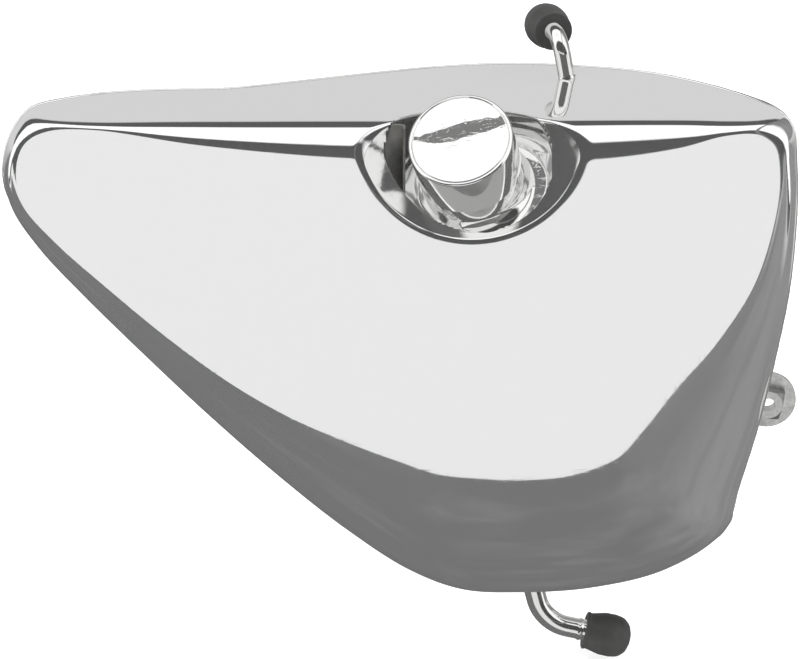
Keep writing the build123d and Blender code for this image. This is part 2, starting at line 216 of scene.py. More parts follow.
# ---------------------------------------------------------------- meshes
def piece(name, points, faces, body, material, replaces=(), normals=None):
    """A mesh object from tank millimetres, riding on a body and standing for CAD nodes."""
    mesh = bpy.data.meshes.new(name)
    points = (np.asarray(points, float).reshape(-1, 3) + TO_FRAME) * MM
    mesh.from_pydata(points.tolist(), [], faces)
    mesh.update()
    mesh.polygons.foreach_set("use_smooth", [True] * len(mesh.polygons))
    if normals is not None:
        mesh.normals_split_custom_set_from_vertices(np.asarray(normals).reshape(-1, 3).tolist())
    obj = bpy.data.objects.new(name, mesh)
    bpy.context.scene.collection.objects.link(obj)
    mesh.materials.append(material)
    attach(obj, body)
    if replaces:
        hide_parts(*replaces)
    return obj


def grid_faces(rows, columns, start=0, flip=False):
    """Quads of a grid of points whose last column joins up with its first."""
    faces = []
    for i in range(rows - 1):
        for j in range(columns):
            k = (j + 1) % columns
            quad = (i * columns + j, i * columns + k, (i + 1) * columns + k, (i + 1) * columns + j)
            quad = tuple(start + corner for corner in quad)
            faces.append(quad[::-1] if flip else quad)
    return faces


def grid_normals(grid, outward):
    """Unit normals of a grid whose columns join up, on the side of the outward hint."""
    down = np.gradient(grid, axis=0)
    across = np.roll(grid, -1, axis=1) - np.roll(grid, 1, axis=1)
    normals = np.cross(down, across)
    normals /= np.maximum(np.linalg.norm(normals, axis=2, keepdims=True), 1e-12)
    return normals * np.sign(np.sum(np.mean(normals[1:-1] * outward[1:-1], axis=(0, 1))))


def side_rib_points(ribs, rows):
    """Points down each rib from the face's edge over the roll to the back edge, evenly spaced."""
    gx, gz, fx, fz, depth = ribs.T
    base = crown(fx)

    def roll(angle):
        c, s = 1 - np.cos(angle), 1 - np.sin(angle)
        return gx + (fx - gx) * c, base + depth * s, gz + (fz - gz) * c

    low, high = np.zeros(len(ribs)), np.full(len(ribs), math.pi / 2)
    for _ in range(40):
        middle = (low + high) / 2
        x, y = roll(middle)[:2]
        beyond = y > frame_side_y(x)
        low, high = np.where(beyond, middle, low), np.where(beyond, high, middle)
    x, y = roll(np.zeros(len(ribs)))[:2]
    last = np.where(y > frame_side_y(x), (low + high) / 2, 0.0)
    shares = np.linspace(0, 1, 241)
    path = [np.stack(roll(math.pi / 2 + (last - math.pi / 2) * k), axis=1) for k in shares]
    end = path[-1].copy()
    wall = np.where(last > 0, 0.0, frame_side_y(end[:, 0]) - end[:, 1])
    for k in np.linspace(0, 1, 161)[1:]:
        path.append(end + np.outer(wall * k, (0, 1, 0)))
    path = np.array(path)
    path[..., 2] = soft_min(path[..., 2], 0.0, CREASE_WIDTH)
    steps = np.linalg.norm(np.diff(path, axis=0), axis=2)
    length = np.vstack([np.zeros(len(ribs)), np.cumsum(steps, axis=0)])
    result = np.empty((rows, len(ribs), 3))
    for j in range(len(ribs)):
        wanted = np.linspace(0, length[-1, j], rows)
        for axis in range(3):
            result[:, j, axis] = np.interp(wanted, length[:, j], path[:, j, axis])
    return result


def face_points(ribs, rows):
    """Rings of the outer face from near its middle out to its edge, without that edge."""
    edge = ribs[:, 2:4]
    rings = []
    for share in np.linspace(0.012, 1, rows + 1)[:-1]:
        xz = FACE_MIDDLE + (edge - FACE_MIDDLE) * share
        rings.append(np.stack([xz[:, 0], crown(xz[:, 0]), xz[:, 1]], axis=1))
    return np.array(rings)


def scoop_height(across):
    """Height of the round scoop along the recess axis, at points in the plane across it."""
    centre_height = RECESS_CENTRE @ RECESS_AXIS
    centre_across = RECESS_CENTRE - centre_height * RECESS_AXIS
    gap = RECESS_RADIUS ** 2 - np.sum((across - centre_across) ** 2, axis=-1)
    return np.where(gap > 0, centre_height - np.sqrt(np.maximum(gap, 0.0)), 1e6)


def lip_width(across):
    """Blend width of the recess's lip, at points in the plane across the recess axis."""
    return np.interp(across[..., 2], LIP_LEVELS, LIP_WIDTHS)


def press_recess(points):
    """Points of the plain body moved down the recess axis on to the scoop."""
    height = points @ RECESS_AXIS
    across = points - height[..., None] * RECESS_AXIS
    pressed = soft_min(height, scoop_height(across), lip_width(across))
    return across + pressed[..., None] * RECESS_AXIS


# the plain body's section beside the recess, where each rib lies at one X
NEAR_RIBS = dense_ribs(0.5, 20.0)
NEAR_RIBS = NEAR_RIBS[(NEAR_RIBS[:, 1] > 2.9) & (np.abs(NEAR_RIBS[:, 0] - 33) < 75)]


def inside_body(points):
    """Whether points near the recess lie within the plain body."""
    x, y, z = points[..., 0], points[..., 1], points[..., 2]
    face_z = np.interp(x, NEAR_RIBS[:, 0], NEAR_RIBS[:, 3])
    depth = np.interp(x, NEAR_RIBS[:, 0], NEAR_RIBS[:, 4])
    raw_z = np.where(
        z > -CREASE_WIDTH, CREASE_WIDTH - 2 * np.sqrt(np.clip(-CREASE_WIDTH * z, 0, None)), z
    )
    up = np.maximum(raw_z - face_z, 0) / (3 - face_z)
    out = np.maximum(crown(x) + depth - y, 0) / depth
    return (z < 0) & (up ** 2 + out ** 2 < 1)


def body_height(across):
    """Height of the plain body along the recess axis, by halving."""
    low, high = np.full(across.shape[:-1], -120.0), np.full(across.shape[:-1], 60.0)
    for _ in range(34):
        middle = (low + high) / 2
        inside = inside_body(across + middle[..., None] * RECESS_AXIS)
        low, high = np.where(inside, middle, low), np.where(inside, high, middle)
    return low


def axes_along(direction):
    """Three square axes, the last of them along a direction."""
    z_axis = unit(direction)
    helper = np.array([1.0, 0, 0]) if abs(z_axis[0]) < 0.9 else np.array([0, 1.0, 0])
    x_axis = unit(helper - z_axis * (helper @ z_axis))
    return x_axis, np.cross(z_axis, x_axis), z_axis


NECK_X, NECK_Y, NECK_Z = axes_along(NECK_DIR)


def pressed_height_on_neck_lines(p, q):
    """Height along the neck of the pressed body at p, q across it, by halving."""
    base = CAP_FACE + p[..., None] * NECK_X + q[..., None] * NECK_Y
    low, high = np.full(p.shape, -80.0), np.full(p.shape, 20.0)
    for _ in range(30):
        middle = (low + high) / 2
        points = base + middle[..., None] * NECK_Z
        height = points @ RECESS_AXIS
        across = points - height[..., None] * RECESS_AXIS
        surface = soft_min(body_height(across), scoop_height(across), lip_width(across))
        under = height < surface
        low, high = np.where(under, middle, low), np.where(under, high, middle)
    return low


# ---------------------------------------------------------------- materials
def new_material(name):
    material = bpy.data.materials.new(name)
    material.use_nodes = True
    nodes, links = material.node_tree.nodes, material.node_tree.links
    return material, nodes, links, nodes["Principled BSDF"]


def noise(nodes, links, scale, detail=4.0, roughness=0.55, stretch=None, turn=None, curl=0.0):
    """Noise on object coordinates; returns its value socket."""
    coords = nodes.new("ShaderNodeTexCoord")
    source = coords.outputs["Object"]
    if stretch or turn:
        mapping = nodes.new("ShaderNodeMapping")
        mapping.inputs["Scale"].default_value = stretch or (1, 1, 1)
        mapping.inputs["Rotation"].default_value = turn or (0, 0, 0)
        links.new(source, mapping.inputs["Vector"])
        source = mapping.outputs["Vector"]
    node = nodes.new("ShaderNodeTexNoise")
    node.inputs["Scale"].default_value = scale
    node.inputs["Detail"].default_value = detail
    node.inputs["Roughness"].default_value = roughness
    node.inputs["Distortion"].default_value = curl
    links.new(source, node.inputs["Vector"])
    return node.outputs["Fac"]


def ramp(nodes, links, source, stops):
    """Colour ramp over a value; each stop is a place and a grey or a colour."""
    node = nodes.new("ShaderNodeValToRGB")
    elements = node.color_ramp.elements
    while len(elements) < len(stops):
        elements.new(0.5)
    for element, (place, value) in zip(elements, stops):
        element.position = place
        element.color = (*value, 1.0) if isinstance(value, tuple) else (value, value, value, 1.0)
    links.new(source, node.inputs["Fac"])
    return node.outputs["Color"]


def bump(nodes, links, source, distance, strength=1.0, under=None):
    node = nodes.new("ShaderNodeBump")
    node.inputs["Distance"].default_value = distance
    node.inputs["Strength"].default_value = strength
    links.new(source, node.inputs["Height"])
    if under is not None:
        links.new(under, node.inputs["Normal"])
    return node.outputs["Normal"]


# stretch and turn of each set of polishing scratches
SCRATCH_RUNS = (
    ((30, 2.0, 30), (0.5, 0.7, 0.9)), ((2.0, 34, 34), (0.2, -0.6, 1.1)),
    ((32, 32, 2.0), (1.3, 0.4, -0.5)), ((2.4, 30, 30), (0.9, 0.8, 0.2)),
)


def chrome(name, tint, haze, wave, scratch):
    """Bright plate: slow waves in the pressing, hazy patches, fine scratches and specks."""
    material, nodes, links, shader = new_material(name)
    shader.inputs["Metallic"].default_value = 0.94
    specks = noise(nodes, links, 620.0, 2.0, 0.6)
    colour = ramp(nodes, links, specks, [
        (0.20, tuple(c * 0.72 for c in tint)), (0.27, tint), (1.0, tint),
    ])
    links.new(colour, shader.inputs["Base Color"])
    patches = noise(nodes, links, 26.0, 6.0, 0.65)
    rough = ramp(nodes, links, patches, [(0.35, haze), (0.62, haze * 1.7), (0.8, haze * 2.6)])
    slow = noise(nodes, links, 11.0, 2.0, 0.4)
    normal = bump(nodes, links, slow, wave)
    for stretch, turn in SCRATCH_RUNS:
        lines = noise(nodes, links, 22.0, 2.0, 0.6, stretch, turn, 0.35)
        cut = ramp(nodes, links, lines, [(0.0, 1.0), (0.24, 0.6), (0.36, 0.0), (1.0, 0.0)])
        normal = bump(nodes, links, cut, scratch, 0.5, normal)
        add = nodes.new("ShaderNodeMath")
        add.operation = "MULTIPLY_ADD"
        links.new(cut, add.inputs[0])
        add.inputs[1].default_value = 0.1
        links.new(rough, add.inputs[2])
        rough = add.outputs["Value"]
    links.new(rough, shader.inputs["Roughness"])
    links.new(normal, shader.inputs["Normal"])
    return material


def plain_metal(name, dark, light, rough, scale, depth):
    material, nodes, links, shader = new_material(name)
    shader.inputs["Metallic"].default_value = 1.0
    grain = noise(nodes, links, scale, 6.0, 0.7)
    links.new(ramp(nodes, links, grain, [(0.3, dark), (0.7, light)]), shader.inputs["Base Color"])
    worn = noise(nodes, links, scale / 5, 4.0)
    roughness = ramp(nodes, links, worn, [(0.3, rough), (0.75, rough * 1.5)])
    links.new(roughness, shader.inputs["Roughness"])
    links.new(bump(nodes, links, grain, depth), shader.inputs["Normal"])
    return material


def rubber(name, dark, light, rough):
    material, nodes, links, shader = new_material(name)
    fine = noise(nodes, links, 900.0, 4.0, 0.7)
    broad = noise(nodes, links, 60.0, 5.0, 0.6)
    links.new(ramp(nodes, links, broad, [(0.35, dark), (0.7, light)]), shader.inputs["Base Color"])
    roughness = ramp(nodes, links, broad, [(0.3, rough), (0.7, rough * 1.25)])
    links.new(roughness, shader.inputs["Roughness"])
    links.new(bump(nodes, links, fine, 0.00012), shader.inputs["Normal"])
    return material


def gauze_metal():
    material, nodes, links, shader = new_material("brass_gauze")
    shader.inputs["Metallic"].default_value = 1.0
    coords = nodes.new("ShaderNodeTexCoord")
    weave = nodes.new("ShaderNodeTexChecker")
    weave.inputs["Scale"].default_value = 1600.0
    links.new(coords.outputs["Object"], weave.inputs["Vector"])
    colour = ramp(nodes, links, weave.outputs["Fac"], [
        (0.0, (0.30, 0.22, 0.09)), (1.0, (0.72, 0.56, 0.27)),
    ])
    links.new(colour, shader.inputs["Base Color"])
    shader.inputs["Roughness"].default_value = 0.35
    links.new(bump(nodes, links, weave.outputs["Fac"], 0.0001), shader.inputs["Normal"])
    return material


BODY_CHROME = chrome("body_chrome", (0.86, 0.865, 0.86), 0.022, 0.00020, 0.000012)
CAP_CHROME = chrome("cap_chrome", (0.88, 0.88, 0.87), 0.006, 0.00006, 0.00001)
TUBE_CHROME = chrome("tube_chrome", (0.80, 0.80, 0.79), 0.05, 0.0, 0.00002)
ZINC = plain_metal("zinc_steel", (0.52, 0.52, 0.50), (0.80, 0.80, 0.78), 0.28, 420.0, 0.00012)
ALLOY = plain_metal("plug_alloy", (0.62, 0.62, 0.63), (0.76, 0.76, 0.77), 0.3, 300.0, 0.00004)
INNER = plain_metal("inner_steel", (0.30, 0.29, 0.27), (0.46, 0.45, 0.43), 0.42, 220.0, 0.0001)
CAP_RUBBER = rubber("cap_rubber", (0.046, 0.046, 0.045), (0.068, 0.068, 0.066), 0.5)
SEAL_RUBBER = rubber("seal_rubber", (0.012, 0.012, 0.013), (0.02, 0.02, 0.02), 0.5)
GAUZE = gauze_metal()


# ---------------------------------------------------------------- the body's sheets
def pan_wall(share):
    """Height along the neck of the pan's floor and flared wall, at shares of its outline."""
    beyond = (share - PAN_WALL_FOOT) * (PAN_HALF[0] + PAN_HALF[1]) / 2
    return -PAN_FLOOR - soft_min(-beyond * PAN_SLOPE, np.zeros_like(beyond), PAN_EDGE)


def in_pan(points):
    """Whether points of the pressed body are above the pan's wall or within its blend."""
    away = points - CAP_FACE
    p, q = away @ NECK_X - PAN_SHIFT[0], away @ NECK_Y - PAN_SHIFT[1]
    h = away @ NECK_Z
    share = np.hypot(p / PAN_HALF[0], q / PAN_HALF[1])
    near = (share < PAN_REACH - PAN_OVERLAP) & (h < RECESS_HIGH)
    return near & (h > pan_wall(share) - PAN_EDGE)


def make_outer_shell():
    """The outer pressing, without the pan; returns its grid of points."""
    ribs = dense_ribs(FINE_STEP, COARSE_STEP)
    plain = np.concatenate([face_points(ribs, FACE_ROWS), side_rib_points(ribs, SIDE_ROWS)])
    grid = press_recess(plain)
    rows, columns = grid.shape[:2]
    outward = grid - np.array([FACE_MIDDLE[0], 60.0, FACE_MIDDLE[1]])
    normals = grid_normals(grid, outward)
    normals[:3] = unit((0.0, -1.0, 0.0))
    hole = in_pan(grid).reshape(-1)
    outer = grid_faces(rows, columns)
    middle = rows * columns
    outer += [(middle, (j + 1) % columns, j) for j in range(columns)]
    outer = [f for f in outer if not all(v < middle and hole[v] for v in f)]
    points = [grid.reshape(-1, 3), [[FACE_MIDDLE[0], crown(FACE_MIDDLE[0]), FACE_MIDDLE[1]]]]
    directions = [normals.reshape(-1, 3), [[0, -1, 0]]]
    piece(
        "outer_shell_pressing", np.concatenate(points), outer, "tank",
        BODY_CHROME, ["outer_shell"], np.concatenate(directions),
    )
    return grid


def make_pan():
    """The pan's floor and wall, as a sheet with an opening for the neck."""
    shares = np.concatenate([np.linspace(0.50, 0.86, 10), np.linspace(0.88, PAN_REACH, 70)])
    columns = 256
    turn = np.linspace(0, 2 * math.pi, columns, endpoint=False)
    p = np.outer(shares, np.cos(turn)) * PAN_HALF[0] + PAN_SHIFT[0]
    q = np.outer(shares, np.sin(turn)) * PAN_HALF[1] + PAN_SHIFT[1]
    outwards = np.maximum((NECK_BORE + NECK_CLEARANCE) / np.hypot(p, q), 1.0)
    p, q = p * outwards, q * outwards
    around = pressed_height_on_neck_lines(p, q)
    wall = pan_wall(shares[:, None] * np.ones(columns))
    height = soft_min(around, wall, PAN_EDGE)
    grid = CAP_FACE + p[..., None] * NECK_X + q[..., None] * NECK_Y + height[..., None] * NECK_Z
    normals = grid_normals(grid, np.broadcast_to(NECK_Z, grid.shape))
    grid += normals * np.where(around < wall - PAN_EDGE, PAN_PROUD, 0.0)[..., None]
    rows = len(shares)
    under = grid - normals * SHEET
    points = np.concatenate([grid.reshape(-1, 3), under.reshape(-1, 3)])
    faces = grid_faces(rows, columns, flip=True)
    faces += grid_faces(rows, columns, start=rows * columns)
    piece(
        "filler_dish_pressing", points, faces, "tank", BODY_CHROME,
        ["filler_dish"], np.concatenate([normals.reshape(-1, 3), -normals.reshape(-1, 3)]),
    )


def make_back_panel(edge):
    """The frame side, ruled upright through its curve."""
    middle = np.array([BACK_MIDDLE[0], 0, BACK_MIDDLE[1]])
    rings = []
    for share in np.linspace(1.0, 0.02, 46):
        ring = middle + (edge - middle) * share
        ring[:, 1] = frame_side_y(ring[:, 0])
        rings.append(ring)
    grid = np.array(rings)
    rows, columns = grid.shape[:2]
    normals = grid_normals(grid, np.broadcast_to((0.0, 1.0, 0.0), grid.shape))
    centre = [middle[0], frame_side_y(middle[0]), middle[2]]
    points = np.concatenate([grid.reshape(-1, 3), [centre]])
    faces = grid_faces(rows, columns)
    last = (rows - 1) * columns
    faces += [(last + j, last + (j + 1) % columns, rows * columns) for j in range(columns)]
    directions = np.concatenate([normals.reshape(-1, 3), [[0, 1, 0]]])
    piece(
        "back_panel_pressing", points, faces, "tank", BODY_CHROME,
        ["back_panel"], directions,
    )


def make_seam(edge):
    """The weld bead, ground to a low ripple, where the two pressings meet."""
    along = np.roll(edge, -1, axis=0) - np.roll(edge, 1, axis=0)
    along /= np.linalg.norm(along, axis=1, keepdims=True)
    outward = np.cross(along, (0.0, 1.0, 0.0))
    outward /= np.linalg.norm(outward, axis=1, keepdims=True)
    backward = np.cross(outward, along)
    columns = 12
    turn = np.linspace(0, 2 * math.pi, columns, endpoint=False)
    ripple = SEAM_RADIUS * (1 + SEAM_RIPPLE * np.sin(np.arange(len(edge)) * 2.1))
    cosines, sines = np.cos(turn)[None, :, None], np.sin(turn)[None, :, None]
    spokes = cosines * outward[:, None] + sines * backward[:, None]
    grid = edge[:, None] + spokes * ripple[:, None, None] - outward[:, None] * SEAM_SINK
    grid = np.concatenate([grid, grid[:1]])
    directions = np.concatenate([spokes, spokes[:1]])
    faces = grid_faces(len(grid), columns, flip=True)
    piece("back_seam_weld", grid, faces, "tank", TUBE_CHROME, (), directions)


SHELL = make_outer_shell()
make_pan()
make_back_panel(SHELL[-1])
make_seam(SHELL[-1])


# ---------------------------------------------------------------- turned and bent pieces
def rounded(corners, steps=6):
    """Profile with its corners rounded: each corner is (radius, height, rounding)."""
    result = []
    for index, (r, h, rounding) in enumerate(corners):
        here = np.array([r, h], float)
        if rounding == 0 or index in (0, len(corners) - 1):
            result.append(here)
            continue
        before = np.array(corners[index - 1][:2], float)
        after = np.array(corners[index + 1][:2], float)
        to_before, to_after = unit(before - here), unit(after - here)
        half = math.acos(np.clip(to_before @ to_after, -1, 1)) / 2
        reach = rounding / math.tan(half)
        centre = here + unit(to_before + to_after) * rounding / math.sin(half)
        start, end = here + to_before * reach - centre, here + to_after * reach - centre
        swing = math.acos(np.clip(unit(start) @ unit(end), -1, 1))
        for k in range(steps + 1):
            share = k / steps
            weights = math.sin((1 - share) * swing), math.sin(share * swing)
            result.append(centre + (start * weights[0] + end * weights[1]) / math.sin(swing))
    return np.array(result)


def turned(name, origin, direction, profile, columns, body, material, replaces=()):
    """A piece turned about an axis; the profile's ends are closed where they meet the axis."""
    x_axis, y_axis, z_axis = axes_along(direction)
    turn = np.linspace(0, 2 * math.pi, columns, endpoint=False)
    spokes = np.outer(np.cos(turn), x_axis) + np.outer(np.sin(turn), y_axis)
    grid = np.array([origin + spokes * r + z_axis * h for r, h in profile])
    faces = grid_faces(len(profile), columns, flip=True)
    obj = piece(name, grid, faces, body, material, replaces)
    finish_turned(obj)
    return obj


def finish_turned(obj):
    """Merges the points that meet on the axis and turns all faces outwards."""
    work = bmesh.new()
    work.from_mesh(obj.data)
    bmesh.ops.remove_doubles(work, verts=work.verts, dist=1e-6)
    bmesh.ops.recalc_face_normals(work, faces=work.faces)
    work.to_mesh(obj.data)
    work.free()
    obj.data.set_sharp_from_angle(angle=math.radians(50))


def bent_line(points, bend, step=0.6):
    """Points along three-point runs whose corner is an arc, and the distance along them."""
    start, corner, end = (np.asarray(p, float) for p in points)
    before, after = unit(start - corner), unit(end - corner)
    half = math.acos(before @ after) / 2
    reach = bend / math.tan(half)
    centre = corner + unit(before + after) * bend / math.sin(half)
    a, b = corner + before * reach, corner + after * reach
    swing = math.acos(unit(a - centre) @ unit(b - centre))
    line = [start + (a - start) * k for k in np.linspace(0, 1, round(math.dist(start, a) / step))]
    for share in np.linspace(0, 1, max(8, round(bend * swing / step)))[1:]:
        weights = math.sin((1 - share) * swing), math.sin(share * swing)
        spoke = (a - centre) * weights[0] + (b - centre) * weights[1]
        line.append(centre + spoke / math.sin(swing))
    line += [b + (end - b) * k for k in np.linspace(0, 1, round(math.dist(b, end) / step))[1:]]
    line = np.array(line)
    length = np.concatenate([[0], np.cumsum(np.linalg.norm(np.diff(line, axis=0), axis=1))])
    return line, length


def swept(name, line, length, profile, columns, body, material, replaces=()):
    """A round piece along a line: profile rows are (distance along, radius)."""
    tangents = np.gradient(line, axis=0)
    tangents /= np.linalg.norm(tangents, axis=1, keepdims=True)
    side = axes_along(tangents[0])[0]
    sides = []
    for tangent in tangents:
        side = unit(side - tangent * (side @ tangent))
        sides.append(side)
    sides = np.array(sides)
    turn = np.linspace(0, 2 * math.pi, columns, endpoint=False)
    grid = []
    for along, radius in profile:
        place, tangent, x_axis = (
            np.array([np.interp(along, length, table[:, k]) for k in range(3)])
            for table in (line, tangents, sides)
        )
        x_axis = unit(x_axis - unit(tangent) * (x_axis @ unit(tangent)))
        y_axis = np.cross(unit(tangent), x_axis)
        spokes = np.outer(np.cos(turn), x_axis) + np.outer(np.sin(turn), y_axis)
        grid.append(place + radius * spokes)
    grid = np.array(grid)
    faces = grid_faces(len(profile), columns, flip=True)
    last = (len(profile) - 1) * columns
    faces += [(last + j, last + (j + 1) % columns, (j + 1) % columns, j) for j in range(columns)]
    obj = piece(name, grid, faces, body, material, replaces)
    finish_turned(obj)
    return obj


def tube_profile(total, radius, beads, start=0.0):
    """Distances and radii of a tube's outside, its rounded end and its bore."""
    outside = []
    for along in np.arange(start, total - 0.5, 0.5):
        swell = sum(h * math.exp(-((along - at) / width) ** 2) for at, h, width in beads)
        outside.append((along, radius + swell))
    end = [(total - 0.25, radius - 0.05), (total, radius - 0.3), (total, radius - TUBE_WALL + 0.2)]
    inside = [(along, radius - TUBE_WALL) for along in np.arange(total - 0.4, start, -1.5)]
    return outside + end + inside + [(start, radius - TUBE_WALL)]


# ---------------------------------------------------------------- filler
CAP_PROFILE = rounded([
    (0, -0.9, 0), (6, -0.86, 0), (12, -0.72, 0), (18, -0.44, 0), (21, -0.23, 0),
    (22.8, -0.1, 0), (23.1, -0.08, 0), (23.45, -0.42, 0.12), (23.8, -0.02, 0.2),
    (CAP_RADIUS, 0, 1.3), (CAP_RADIUS, -CAP_HEIGHT, 0.5),
    (CAP_RADIUS - CAP_WALL, -CAP_HEIGHT, 0.4), (CAP_RADIUS - CAP_WALL, -CAP_WALL, 0.5),
    (0, -CAP_WALL, 0),
], 8)
cap_cup = turned("filler_cap_cup", CAP_FACE, NECK_DIR, CAP_PROFILE, 192, "filler_cap",
                 CAP_CHROME, ["cap_shell"])

FLARE_RADIUS = NECK_RADIUS + 6.6    # where the neck's foot runs out on the pan
NECK_PROFILE = rounded([
    (NECK_BORE, -NECK_FOOT, 0), (NECK_BORE, -NECK_TOP, 0.4), (NECK_RADIUS, -NECK_TOP, 0.6),
    (NECK_RADIUS, -PAN_FLOOR + 2.0, 8.0), (FLARE_RADIUS, -PAN_FLOOR + 0.1, 0.4),
    (FLARE_RADIUS, -PAN_FLOOR - 0.6, 0.2), (NECK_RADIUS, -PAN_FLOOR - 0.6, 0.2),
    (NECK_RADIUS, -NECK_FOOT, 0.3), (NECK_BORE, -NECK_FOOT, 0),
])
turned("filler_neck_tube", CAP_FACE, NECK_DIR, NECK_PROFILE, 160, "tank",
       TUBE_CHROME, ["filler_neck"])

# ---------------------------------------------------------------- hose fittings
RUBBER_PROFILE = rounded([
    (0, 24.0, 0), (3.2, 23.9, 1), (7.2, 22.6, 6), (10.2, 19.2, 6), (11.0, 14.6, 5), (10.9, 9.5, 5),
    (9.5, 3.6, 4), (9.2, 1.9, 0.8), (9.7, 1.3, 0.6), (9.5, 0.1, 0.8), (0, 0, 0),
], 6)


def rubber_cap(name, entry, direction, bore, body, node):
    """A blanking cap whose mouth is at entry, bored to fit its nipple."""
    profile = RUBBER_PROFILE[:-1].tolist()
    profile += rounded([
        (9.5, 0.1, 0), (bore + 0.2, 0.0, 0.7), (bore, CAP_GRIP + 0.3, 0.5), (0, CAP_GRIP + 0.5, 0),
    ]).tolist()[1:]
    return turned(name, entry, direction, profile, 96, body, CAP_RUBBER, [node])


vent_rubber = rubber_cap("vent_blanking_cap", VENT_ENTRY, VENT_AIM, VENT_RADIUS, "vent_blank",
                         "vent_cap")
feed_rubber = rubber_cap("feed_blanking_cap", FEED_ENTRY, FEED_AIM, FEED_RADIUS, "feed_blank",
                         "feed_cap")

vent_corner = VENT_ENTRY - unit(VENT_AIM) * 10.0
vent_lean = unit(VENT_BASE - vent_corner)
vent_line, vent_length = bent_line(
    [VENT_BASE + vent_lean * 9.0, vent_corner, VENT_ENTRY + unit(VENT_AIM) * CAP_GRIP], 8.5
)
vent_mouth = vent_length[-1] - CAP_GRIP
swept("vent_tube_bent", vent_line, vent_length,
      tube_profile(vent_mouth + 1.0, VENT_RADIUS, [(9.0, 0.5, 0.7)]),
      64, "tank", TUBE_CHROME, ["vent_tube"])
vent_end = swept("vent_tube_hose_end", vent_line, vent_length,
                 tube_profile(vent_length[-1], VENT_RADIUS, [(vent_length[-1] - 3.0, 0.35, 1.2)],
                              vent_mouth + 1.0),
                 64, "tank", TUBE_CHROME)

feed_corner = FEED_ENTRY - unit(FEED_AIM) * 21.9
feed_start = feed_corner + unit(FEED_RISE) * 56.0
feed_line, feed_length = bent_line(
    [feed_start, feed_corner, FEED_ENTRY + unit(FEED_AIM) * CAP_GRIP], 21.0
)
feed_mouth = feed_length[-1] - CAP_GRIP
feed_bend = swept("feed_tube_bent", feed_line, feed_length,
                  tube_profile(feed_length[-1], FEED_RADIUS, [(feed_mouth - 2.4, 0.55, 0.8)]),
                  64, "tank", TUBE_CHROME, ["feed_tube"])

return_start = np.array([RETURN_BASE[0], frame_side_y(RETURN_BASE[0]), RETURN_BASE[1]])
return_entry = return_start + unit(RETURN_AIM) * RETURN_STUB
rubber_cap("return_blanking_cap", return_entry, RETURN_AIM, RETURN_RADIUS, "return_blank",
           "return_cap")
return_line = np.linspace(return_start - unit(RETURN_AIM) * RETURN_ROOT,
                          return_entry + unit(RETURN_AIM) * CAP_GRIP, 80)
return_length = np.linspace(0, RETURN_ROOT + RETURN_STUB + CAP_GRIP, 80)
swept("return_nipple_tube", return_line, return_length,
      tube_profile(return_length[-1], RETURN_RADIUS, []),
      64, "tank", TUBE_CHROME, ["return_nipple"])

# ---------------------------------------------------------------- carried-over pieces
IN_THE_CAP = ("cap_gasket", "cap_plug", "cap_o_rings", "dipstick", "dipstick_pin")
FINISHES = {
    "cap_gasket": ("seal_rubber", SEAL_RUBBER), "cap_o_rings": ("seal_rubber", SEAL_RUBBER),
    "cap_plug": ("plug_alloy", ALLOY), "dipstick": ("inner_steel", INNER),
    "dipstick_pin": ("inner_steel", INNER), "vent_bung": ("inner_steel", INNER),
    "vent_splash_cup": ("inner_steel", INNER), "feed_bung": ("inner_steel", INNER),
    "feed_strainer": ("gauze", GAUZE), "return_bung": ("body_chrome", TUBE_CHROME),
    "return_deflector": ("inner_steel", INNER), "front_mount_tab": ("zinc_steel", ZINC),
    "front_mount_nut": ("zinc_steel", ZINC), "rear_mount_boss": ("zinc_steel", ZINC),
    "lower_mount_boss": ("zinc_steel", ZINC), "baffle_plate": ("inner_steel", INNER),
}
for node, (slot, material) in FINISHES.items():
    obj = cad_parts[node]
    obj.data.materials.clear()
    obj.data.materials.append(material)
    bevel = obj.modifiers.new("edge_rounding", "BEVEL")
    bevel.width = 0.0003
    bevel.segments = 2
    bevel.limit_method = "ANGLE"
    bevel.angle_limit = math.radians(40)

# The plate mirrors the room and the vent tube's foot, but not the filler cap close above the
# recess, the vent's hose end with its cap, or the feed tube with its cap.
OUT_OF_REFLECTIONS = [cap_cup, vent_end, vent_rubber, feed_rubber, feed_bend]
OUT_OF_REFLECTIONS += [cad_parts[node] for node in IN_THE_CAP]
for obj in OUT_OF_REFLECTIONS:
    obj.visible_glossy = False

# ---------------------------------------------------------------- floor, light and camera
scene = bpy.context.scene
scene.view_settings.view_transform = "Standard"
scene.view_settings.look = "None"

FLOOR_HALF = 12.0
FLOOR_GAP = 0.004              # under the tank
floor_z = CAD_BOX[0][2] - FLOOR_GAP
floor_mesh = bpy.data.meshes.new("floor")
corners = [(-1, -1), (1, -1), (1, 1), (-1, 1)]
floor_mesh.from_pydata(
    [(a * FLOOR_HALF, b * FLOOR_HALF, floor_z) for a, b in corners], [], [(0, 1, 2, 3)],
)
floor = bpy.data.objects.new("floor", floor_mesh)
scene.collection.objects.link(floor)
floor.visible_glossy = False
material, nodes, links, shader = new_material("pale_floor")
shader.inputs["Base Color"].default_value = (0.9, 0.9, 0.9, 1)
shader.inputs["Roughness"].default_value = 0.9
shader.inputs["Emission Color"].default_value = (1, 1, 1, 1)
shader.inputs["Emission Strength"].default_value = 0.62
floor_mesh.materials.append(material)

